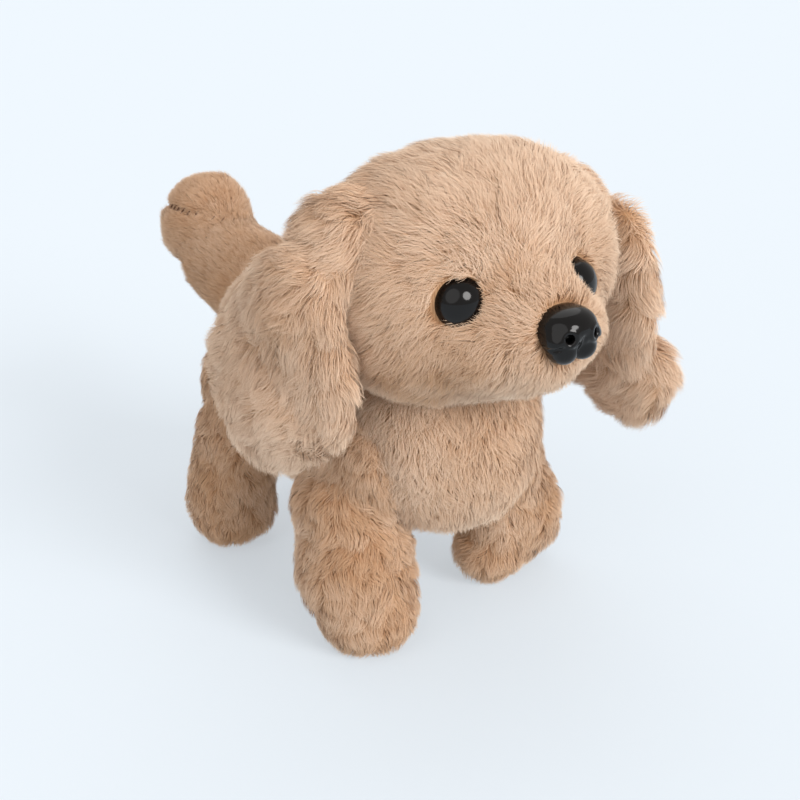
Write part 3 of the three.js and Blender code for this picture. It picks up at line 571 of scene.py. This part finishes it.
def leg_field(end, name):
    leg, side = LEGS[end, name], SIDES[name]
    (top_x, top_z), (end_x, end_z) = SHANK["top"], SHANK["end"]

    def field(p):
        q = p.copy()
        q[:, 0] *= side
        shape = oval(q, leg["hip"], leg["radii"])
        for top, low in zip(leg["down"], leg["down"][1:]):
            shape = merged(shape, limb(q, top[:3], low[:3], top[3], low[3]), FILLETS["leg"])
        foot = oval(q, (FOOT["x"], leg["foot_y"], FOOT["z"]), FOOT["radii"])
        shank = limb(q, (top_x, HIPS[end], top_z), (end_x, leg["foot_y"], end_z), *SHANK["radii"])
        shape = merged(merged(shape, foot, FILLETS["foot"]), shank, FILLETS["foot"])
        return np.maximum(lumpy(shape, p, "leg", side), SOLE - p[:, 2])
    return field


# Each ear hangs from a root that runs out of the head. yaw turns its back edge outwards, splay
# brings its tip outwards, and the lobe is the full lower end.
EARS = {
    "right": {"centre": (-58.5, -43, 108), "radii": (6.5, 28, 32), "yaw": 0.13, "splay": 0.03,
              "lobe": (-62, -41, 92),
              "root": [(-22, -50, 146, 12), (-41, -51, 140, 10.5), (-55, -51, 124, 9)]},
    "left": {"centre": (63, -47, 103), "radii": (6.5, 25, 30), "yaw": -0.1, "splay": -0.12,
             "lobe": (72, -58.5, 74),
             "root": [(22, -50, 142, 12), (43, -48, 134, 11), (58, -47, 118, 8)]},
}
LOBE_RADII = (7.5, 15, 15)
EAR_POWER = 2.2
NARROWING = {"from": -8, "to": 34, "shift": 8, "share": 0.6}  # of the flap, towards its root


def ear_axes(name):
    """An ear's own axes as rows: through its thickness, across it, and up."""
    shape, side = EARS[name], SIDES[name]
    yaw, splay = shape["yaw"], shape["splay"]
    thick = np.array([math.cos(yaw), math.sin(yaw) * -side, 0.0])
    across = np.array([math.sin(yaw) * side, math.cos(yaw), 0.0])
    up = unit(UP + thick * splay)
    return np.stack([thick, across, up])


def ear_field(name):
    shape, side = EARS[name], SIDES[name]
    axes = ear_axes(name)
    centre = np.array(shape["centre"], float)
    lobe_centre = np.array(shape["lobe"], float)

    def field(p):
        q = (p - centre) @ axes.T
        high = ramp(q[:, 2], NARROWING["from"], NARROWING["to"])
        q[:, 1] = (q[:, 1] + NARROWING["shift"] * high) * (1 + NARROWING["share"] * high)
        flap = oval(q, (0, 0, 0), shape["radii"], EAR_POWER)
        lobe = oval((p - lobe_centre) @ axes.T, (0, 0, 0), LOBE_RADII)
        whole = merged(flap, lobe, FILLETS["lobe"])
        for a, b in zip(shape["root"], shape["root"][1:]):
            whole = merged(whole, limb(p, a[:3], b[:3], a[3], b[3]), FILLETS["ear_root"])
        return lumpy(whole, p, "ear", side)
    return field


# The seam that closes the end of the tail: a plane, rise mm above the middle of the knob.
# parting is how far from it the pile is short.
SEAM = {"normal": unit(np.array([0.30, 0.05, 0.95])), "rise": 3, "depth": 1.1, "width": 1.2,
        "parting": 1.8}


def off_seam(p):
    """Distance from the plane of the seam."""
    return (p - np.array(TAIL["knob"], float)) @ SEAM["normal"] - SEAM["rise"]


def on_outer_side(p, amount):
    """An amount that fades out towards the stem and towards the dog's left side."""
    return amount * ramp(p[:, 1], 84, 88) * ramp(-p[:, 0], -4, 4)


def tail_field(p):
    knob = oval(p, TAIL["knob"], TAIL["radii"], 2.2)
    pinch = SEAM["depth"] * np.exp(-((off_seam(p) / SEAM["width"]) ** 2))
    stem = limb(p, TAIL["root"], TAIL["neck"], *TAIL["stem"])
    return lumpy(merged(stem, knob + on_outer_side(p, pinch), FILLETS["tail"]), p, "tail")


# ---------------------------------------------------------------- how the pile is brushed
# A comb takes places and their normals, and gives one direction for each or one for them all.
def torso_comb(p, n):
    """Back over the body, down the chest, the sides and the rump."""
    back = np.array([0.0, 1.0, -0.25])
    front = np.array([0.0, 0.1, -1.0])
    share = ramp(p[:, 1], -60, -20)[:, None]
    flow = front * (1 - share) + back * share
    rump = ramp(p[:, 1], 40, 60)[:, None]
    side = ramp(np.abs(n[:, 0]), 0.3, 0.9)[:, None]
    return flow + DOWN * (0.9 * side + 1.2 * rump)


def head_comb(p, n):
    """Outwards from the nose, and down the cheeks, the sides and the back."""
    away = unit(p - np.array([0, -106.0, 118.0]))
    low = ramp(124 - p[:, 2], 0, 22)[:, None]
    side = ramp(np.abs(p[:, 0]), 14, 40)[:, None]
    behind = ramp(p[:, 1], -62, -40)[:, None]
    return away + DOWN * (0.9 * low + 0.7 * side + 1.2 * behind)


def ear_comb(name):
    """Down the ear, back along its rear edge, outwards at its root, and round one curl."""
    side = SIDES[name]
    centre = np.array(EARS[name]["centre"], float)

    def comb(p, n):
        away = p - centre
        back = ramp(away[:, 1], -26, -6)[:, None] * np.array([0.0, 0.8, 0.0])
        edge = ramp(-away[:, 1], 14, 26)[:, None] * np.array([0.0, -0.15, 0.0])
        outward = ramp(p[:, 2], 118, 145)[:, None] * np.array([0.9 * side, 0.3, 0.0])
        from_curl = p - (centre + np.array([0.0, -14.0, -24.0]))
        near = np.exp(-((np.linalg.norm(from_curl, axis=1) / 11) ** 2))[:, None]
        curl = np.cross(np.array([1.0 * side, 0, 0]), unit(from_curl)) * near * 2.2
        return DOWN + back + edge + outward + curl
    return comb


def leg_comb(p, n):
    return DOWN + np.array([0.0, 0.15, 0.0])


def tail_comb(p, n):
    return np.array([0.0, 1.0, 0.35])


# The tones that only drift: base, spread and seed.
TONES = {"torso": (0.62, 0.25, 42), "flap": (0.5, 0.2, 43), "ear": (0.72, 0.25, 44)}


def plain_tone(part):
    base, spread, seed = TONES[part]
    return lambda p: base + spread * wobble(p, 40, seed) * 0.5


def head_tone(p):
    """Palest on top of the head, where the paleness is painted sheen of the light from above, darker and
    wispy on the cheeks, with painted shade of one crease by the right eye.
    """
    cheek = ramp(122 - p[:, 2], 0, 16) * ramp(np.abs(p[:, 0]), 10, 26) * ramp(-p[:, 1], 60, 72)
    # Painted shade of the crease between the right eye and the bridge.
    fold_shade = np.exp(-(np.linalg.norm(p - np.array([-13.0, -86.0, 131.0]), axis=1) / 5) ** 2)
    # Painted sheen: paler towards the top of the head.
    crown_sheen = ramp(p[:, 2], 125, 150)
    wisps = wobble(p * np.array([1, 1, 2.0]), 9, 47)
    return 0.62 + 0.2 * crown_sheen + cheek * (0.22 * wisps - 0.4) - 0.35 * fold_shade + 0.10 * wobble(p, 34, 41)


def leg_tone(p):
    # The rear legs are darker by painted shade; every leg also darkens towards its sole.
    behind = 0.12 * ramp(p[:, 1], -10, 20)
    return 0.36 - behind - 0.2 * ramp(14 - p[:, 2], 0, 12) + 0.12 * wobble(p, 24, 45)


LONG = {"levels": (0, 0.3, 0.65, 1), "tuft": 60, "stray": 0.42, "fray": 0.22}
SHORT = {"levels": (0, 0.5, 1), "tuft": 40, "stray": 0.25, "fray": 0.3}
PILES = {
    "torso": {**LONG, "density": 5.0, "length": 7.5, "width": 0.17,
              "lift": 0.62, "clump": 0.34, "wave": 0.06, "seed": 100},
    "flap": {**SHORT, "density": 6.0, "length": 5, "width": 0.18,
             "lift": 0.55, "clump": 0.3, "wave": 0.03, "seed": 140},
    "head": {**LONG, "density": 8.0, "width": 0.15,
             "lift": 0.64, "clump": 0.4, "wave": 0.08, "tuft": 90, "seed": 200},
    "ear": {**LONG, "density": 8.0, "length": 8.5, "width": 0.15,
            "lift": 0.5, "clump": 0.55, "wave": 0.08, "tuft": 110, "seed": 300},
    "leg": {**LONG, "density": 6.5, "length": 6.0, "width": 0.17,
            "lift": 0.62, "clump": 0.48, "wave": 0.09, "tuft": 90, "seed": 400},
    "tail": {**SHORT, "density": 10.0, "width": 0.15,
             "lift": 0.68, "clump": 0.2, "wave": 0.03, "seed": 500},
}
FACE_LENGTH = {"full": 8.5, "off_muzzle": 2.8, "off_eye": 1.5, "near_eye": 14}
TAIL_LENGTH = 4.6
STEP, FLAP_STEP, TAIL_STEP = 1.5, 0.9, 1.0  # grids of the covers, in mm
PILE_FACES = 190_000  # the most faces in one piece of pile


def soft_part(name, field, box, pile, comb, tone, replaced, keep, step=STEP):
    """A stuffed cover and the pile on it, in as many pieces as keep each one light."""
    skin = surface_of(field, *box, step)
    verts, quads, _ = skin
    diagonals = np.cross(verts[quads[:, 2]] - verts[quads[:, 0]], verts[quads[:, 3]] - verts[quads[:, 1]])
    area = np.linalg.norm(diagonals, axis=1).sum() / 2
    parts = math.ceil(area * pile["density"] * (2 * len(pile["levels"]) - 3) / PILE_FACES)
    cover = finish_piece(new_mesh(f"{name}_cover", verts, quads), BACKING)
    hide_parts(*replaced)
    made = [cover]
    for part in range(parts):
        shared = {**pile, "density": pile["density"] / parts}
        tag = f"_{part + 1}" if parts > 1 else ""
        fur = grow(f"{name}_pile{tag}", skin, shared, comb, tone, pile["seed"] + 10 * part, keep)
        made.append(finish_piece(fur, PILE))
    return made


def ride_all(pieces, body):
    for piece in pieces:
        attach(piece, body)


def blend_all(pieces):
    for piece in pieces:
        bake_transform(piece)


# Dark stitches fan round the knob, across its seam. turns is in degrees, and the rest in mm.
STITCH = {"turns": (-15, 86, 11), "lift": 1.3, "half": 1.7, "sag": 0.5, "thick": 0.32, "slant": 0.5}
STITCH_RINGS, STITCH_SIDES = 7, 8


def make_stitches():
    """The closing stitches of the tail: dark thread that crosses the seam on the side."""
    start = np.array(TAIL["knob"], float) + SEAM["normal"] * SEAM["rise"]
    normal = SEAM["normal"]
    first = unit(np.cross(normal, np.array([0.0, 1.0, 0.0])))
    second = np.cross(normal, first)
    depths = np.linspace(8, 22, 141)[:, None]  # where the skin is looked for, from the middle outwards
    verts, faces = [], []
    for turn in np.radians(np.arange(*STITCH["turns"])):
        heading = first * math.cos(turn) + second * math.sin(turn)
        beyond = tail_field(start + depths * heading) > 0
        middle = start + heading * (depths[beyond.argmax(), 0] + STITCH["lift"])
        along = unit(normal + np.cross(normal, heading) * STITCH["slant"])
        base = len(verts)
        side = unit(np.cross(along, heading))
        for s in np.linspace(-1, 1, STITCH_RINGS):
            centre = middle + along * s * STITCH["half"] - heading * STITCH["sag"] * s * s
            thick = STITCH["thick"] * math.sqrt(max(0.02, 1 - s**4))
            for a in np.linspace(0, 2 * math.pi, STITCH_SIDES, endpoint=False):
                verts.append(centre + thick * (math.cos(a) * heading + math.sin(a) * side))
        for r in range(STITCH_RINGS - 1):
            for i in range(STITCH_SIDES):
                j = (i + 1) % STITCH_SIDES
                a, b = base + r * STITCH_SIDES, base + (r + 1) * STITCH_SIDES
                faces += [(a + i, b + j, a + j), (a + i, b + i, b + j)]
        for ring, order in ((base, 1), (base + (STITCH_RINGS - 1) * STITCH_SIDES, -1)):
            for i in range(1, STITCH_SIDES - 1):
                faces.append((ring, ring + i, ring + i + 1)[::order])
    piece = new_mesh("tail_stitches", np.array(verts), np.array(faces))
    return finish_piece(piece, THREAD)


def make_torso():
    made = soft_part("torso", torso_cover_field, BOXES["torso"], PILES["torso"], torso_comb,
                     plain_tone("torso"), ["torso_plush"], outside(head_field, "torso"))
    ride_all(made, "chassis")
    flap = soft_part("belly_flap", flap_field, BOXES["flap"], PILES["flap"], torso_comb,
                     plain_tone("flap"), ["belly_flap"], outside(torso_field, "flap"), FLAP_STEP)
    ride_all(flap, "flap")


def make_head():
    eyes = [np.array(place, float) for place in EYES.values()]
    nose = np.array(NOSE["centre"], float)
    off_torso = outside(torso_field, "head")

    def keep(p):
        clear = np.linalg.norm(p - nose, axis=1) > NOSE["radii"][2]
        for eye in eyes:
            away = p - eye
            under = ramp(-away[:, 2] - 0.5 * away[:, 0] * np.sign(eye[0]), -2, 6)
            clear &= np.linalg.norm(away, axis=1) > EYE["radius"] + 0.2 - 1.8 * under
        return clear & off_torso(p)

    def length(p):
        muzzle = ramp(-p[:, 1], 78, 92)
        near_eye = np.minimum(*[np.linalg.norm(p - eye, axis=1) for eye in eyes])
        beside = ramp(FACE_LENGTH["near_eye"] - near_eye, 0, 6)
        return FACE_LENGTH["full"] - FACE_LENGTH["off_muzzle"] * muzzle - FACE_LENGTH["off_eye"] * beside

    pile = {**PILES["head"], "length": length}
    made = soft_part("head", head_field, BOXES["head"], pile, head_comb, head_tone, ["head_plush"], keep)
    ride_all(made, "head")


def make_ears():
    for name, side in SIDES.items():
        pile = {**PILES["ear"], "seed": PILES["ear"]["seed"] + 30 * side}
        made = soft_part(f"{name}_ear", ear_field(name), BOXES[f"{name}_ear"], pile, ear_comb(name),
                         plain_tone("ear"), [f"{name}_ear"], outside(head_field, "ear"))
        blend_all(made)


def make_legs():
    off_torso = outside(torso_field, "leg")

    def keep(p):
        return off_torso(p) & (p[:, 2] > SOLE)

    for end, hip_y in HIPS.items():
        for name, side in SIDES.items():
            left, right = sorted((LEG_BOX["inner"] * side, LEG_BOX["outer"] * side))
            box = ((left, hip_y - LEG_BOX["reach"], LEG_BOX["low"]),
                   (right, hip_y + LEG_BOX["reach"], LEG_BOX["high"]))
            seed = PILES["leg"]["seed"] + 10 * side + (40 if end == "rear" else 0)
            made = soft_part(f"{end}_{name}_leg", leg_field(end, name), box, {**PILES["leg"], "seed": seed},
                             leg_comb, leg_tone, [f"{end}_{name}_leg"], keep)
            blend_all(made)


def make_tail():
    def length(p):
        parting = on_outer_side(p, np.exp(-((off_seam(p) / SEAM["parting"]) ** 2)))
        return TAIL_LENGTH * (1 - 0.6 * parting)

    def tone(p):
        # Darker underneath: painted shade under the tail.
        underside_shade = ramp(TAIL["knob"][2] - 4 - p[:, 2], 0, 14)
        return 0.36 - 0.3 * underside_shade + 0.1 * wobble(p, 30, 46)

    pile = {**PILES["tail"], "length": length}
    made = soft_part("tail", tail_field, BOXES["tail"], pile, tail_comb, tone, ["tail_plush"],
                     outside(torso_field, "tail"), TAIL_STEP)
    made.append(make_stitches())
    blend_all(made)


# ---------------------------------------------------------------- eyes and nose
def placed_mesh(name, rows, material):
    """A closed skin through rings of points, with one point in the middle of each end ring."""
    rings, sides = len(rows), len(rows[0])
    poles = [rows[0].mean(0), rows[-1].mean(0)]
    verts = np.concatenate([*rows, poles])
    last = (rings - 1) * sides
    tris = []
    for r in range(rings - 1):
        for i in range(sides):
            j = (i + 1) % sides
            quad = (r * sides + i, r * sides + j, (r + 1) * sides + j, (r + 1) * sides + i)
            tris += [(quad[0], quad[1], quad[2]), (quad[0], quad[2], quad[3])]
    for i in range(sides):
        j = (i + 1) % sides
        tris += [(j, i, rings * sides), (last + i, last + j, rings * sides + 1)]
    piece = new_mesh(name, verts, np.array(tris))
    return finish_piece(piece, material)


def dome_frame(normal):
    normal = unit(np.array(normal, float))
    right = unit(np.cross(normal, UP))
    return right, np.cross(right, normal), normal


# The rolled rim of an eye as (change of radius, height), and the foot of its dome likewise.
EYE_RIM = [(-1.2, -2.0), (-0.4, -1.4), (0, -0.6), (0, 0.1), (-0.15, 0.6), (-0.5, 0.85)]
DOME_FOOT = (-0.55, 0.9)
DOME_RINGS, EYE_SIDES = 24, 64
POLE = 0.001  # radius of the rings at the poles


def eye_profile():
    """Pairs of radius and height, from the middle of the back to the top of the dome."""
    profile = [(POLE, EYE["back"])]
    profile += [(EYE["radius"] + change, height) for change, height in EYE_RIM]
    for k in range(1, DOME_RINGS + 1):
        angle = math.pi / 2 * k / DOME_RINGS
        reach = (EYE["radius"] + DOME_FOOT[0]) * math.cos(angle)
        profile.append((max(POLE, reach), DOME_FOOT[1] + EYE["dome"] * math.sin(angle)))
    return profile


def make_eyes():
    """Safety eyes: a glossy dome with a fine rolled rim, seated in the pile."""
    turns = np.linspace(0, 2 * math.pi, EYE_SIDES, endpoint=False)
    for name, side in SIDES.items():
        nx, ny, nz = EYE["normal"]
        right, up, out = dome_frame((nx * side, ny, nz))
        centre = np.array(EYES[name], float)
        ring = np.outer(np.cos(turns), right) + np.outer(np.sin(turns), up)
        rows = [centre + radius * ring + height * out for radius, height in eye_profile()]
        piece = placed_mesh(f"{name}_eye", rows, FINISHES["black_gloss"])
        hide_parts(f"eye_{name}")
        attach(piece, "head")


NOSE_REACH, NOSE_STEP = 12, 0.4  # half the box that the nose is looked for in, and its grid


def ring_field(p, centre, axis, radius, tube):
    """Distance to a torus."""
    q = p - np.array(centre, float)
    high = q @ axis
    flat = np.linalg.norm(q - high[:, None] * axis, axis=1)
    return np.hypot(flat - radius, high) - tube


def carved(a, b, soft):
    """a with b cut away, with the edge rounded by about soft mm."""
    return -merged(-a, b, soft)


def nose_field(p):
    """Broad at the top, with two ringed nostrils, a groove down the middle and full lower lobes."""
    x, y, z = NOSE["centre"]
    wide, deep, tall = NOSE["radii"]
    q = p.copy()
    q[:, 0] = np.abs(q[:, 0])
    body = oval(q, (x, y, z + 1.6), (wide, deep, tall - 1.9), 2.2)
    lower_lobe = oval(q, (3.6, y - 2.4, z - 3.6), (4.3, 5.4, 4.6))
    wing = oval(q, (6.4, y - 2.4, z - 0.6), (3.4, 4.6, 3.8))
    body = merged(merged(body, lower_lobe, 1.2), wing, 1.0)
    nostril = np.array([4.7, y - 7.0, z + 1.0])
    axis = unit(np.array([0.42, -0.88, 0.12]))
    body = merged(body, ring_field(q, nostril - axis * 0.3, axis, 2.1, 0.85), 0.7)
    hole = limb(q, nostril - axis * 2, nostril + axis * 3, 1.2, 1.4)
    groove = limb(q, (0, y - 8.6, z + 0.5), (0, y - 5.5, z - 8.5), 0.7, 1.2)
    crease = limb(q, (6.6, y - 7.6, z - 1.6), (9.6, y - 2.5, z - 3.2), 0.6, 0.9)
    return carved(carved(carved(body, hole, 0.5), groove, 1.1), crease, 0.8)


def make_nose():
    centre = np.array(NOSE["centre"], float)
    verts, quads, _ = surface_of(nose_field, centre - NOSE_REACH, centre + NOSE_REACH, NOSE_STEP)
    piece = finish_piece(new_mesh("muzzle_nose", verts, quads), FINISHES["black_gloss"])
    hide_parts("nose")
    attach(piece, "head")


# ---------------------------------------------------------------- studio
TARGET = Vector((0, -0.023, 0.070))
AZIMUTH, ELEVATION, DISTANCE = -37, 24, 0.52
SENSOR, LENS = 36, 70.2
BACKDROP = (0.871, 0.939, 1.0)
ROOM, ROOM_LIGHT = (1.0, 0.96, 0.93), 0.6
FLOOR_BASE, FLOOR_GLOW, FLOOR_REACH = (0.3465, 0.383, 0.4167), 0.5, 6000
WHITE, WARM = (1, 1, 1), (1.0, 0.98, 0.96)

# Each lamp's azimuth, elevation, strength, spread in degrees, and colour.
LAMPS = {
    "key": (8, 28, 2.4, 30, WARM),
    "fill": (-60, 35, 0.7, 60, WHITE),
    "back": (150, 50, 0.7, 60, WHITE),
}


def back_vector(azimuth, elevation):
    """The direction from the target to something at these angles, in degrees."""
    a, e = math.radians(azimuth), math.radians(elevation)
    return Vector((math.sin(a) * math.cos(e), -math.cos(a) * math.cos(e), math.sin(e)))


def make_camera():
    data = bpy.data.cameras.new("camera")
    data.sensor_width = SENSOR
    data.lens = LENS
    camera = bpy.data.objects.new("camera", data)
    bpy.context.scene.collection.objects.link(camera)
    back = back_vector(AZIMUTH, ELEVATION)
    camera.location = TARGET + back * DISTANCE
    camera.rotation_euler = (-back).to_track_quat("-Z", "Y").to_euler()
    bpy.context.scene.camera = camera


def sun(name, azimuth, elevation, strength, spread, colour):
    """A broad lamp far away: it lights the floor evenly, and its shadows are soft."""
    data = bpy.data.lights.new(name, "SUN")
    data.energy = strength
    data.angle = math.radians(spread)
    data.color = colour
    lamp = bpy.data.objects.new(name, data)
    bpy.context.scene.collection.objects.link(lamp)
    back = back_vector(azimuth, elevation)
    lamp.location = TARGET + back
    lamp.rotation_euler = (-back).to_track_quat("-Z", "Y").to_euler()


def make_world():
    """A pale backdrop for the camera, and a neutral, dimmer room for the light and reflections."""
    world = bpy.data.worlds.new("studio")
    bpy.context.scene.world = world
    world.use_nodes = True
    nodes, links = world.node_tree.nodes, world.node_tree.links
    seen = nodes["Background"]
    seen.inputs["Color"].default_value = (*BACKDROP, 1)
    room = nodes.new("ShaderNodeBackground")
    room.inputs["Color"].default_value = (*ROOM, 1)
    room.inputs["Strength"].default_value = ROOM_LIGHT
    path = nodes.new("ShaderNodeLightPath")
    either = nodes.new("ShaderNodeMixShader")
    links.new(path.outputs["Is Camera Ray"], either.inputs[0])
    links.new(room.outputs[0], either.inputs[1])
    links.new(seen.outputs[0], either.inputs[2])
    links.new(either.outputs[0], nodes["World Output"].inputs["Surface"])


def make_studio():
    make_world()
    for name, settings in LAMPS.items():
        sun(name, *settings)
    corners = np.array([(-1, -1, 0), (1, -1, 0), (1, 1, 0), (-1, 1, 0)]) * FLOOR_REACH
    floor = new_mesh("floor", corners, np.array([[0, 1, 2, 3]]))
    made, _, _, shader = nodes_of("pale_floor")
    shader.inputs["Base Color"].default_value = (*FLOOR_BASE, 1)
    shader.inputs["Emission Color"].default_value = (*BACKDROP, 1)
    shader.inputs["Emission Strength"].default_value = FLOOR_GLOW
    shader.inputs["Roughness"].default_value = 1.0
    shader.inputs["Specular IOR Level"].default_value = 0.0
    floor.data.materials.append(made)
    bpy.context.scene.view_settings.view_transform = "Standard"


make_camera()
make_studio()
dress_frame()
make_torso()
make_head()
make_ears()
make_legs()
make_tail()
make_eyes()
make_nose()
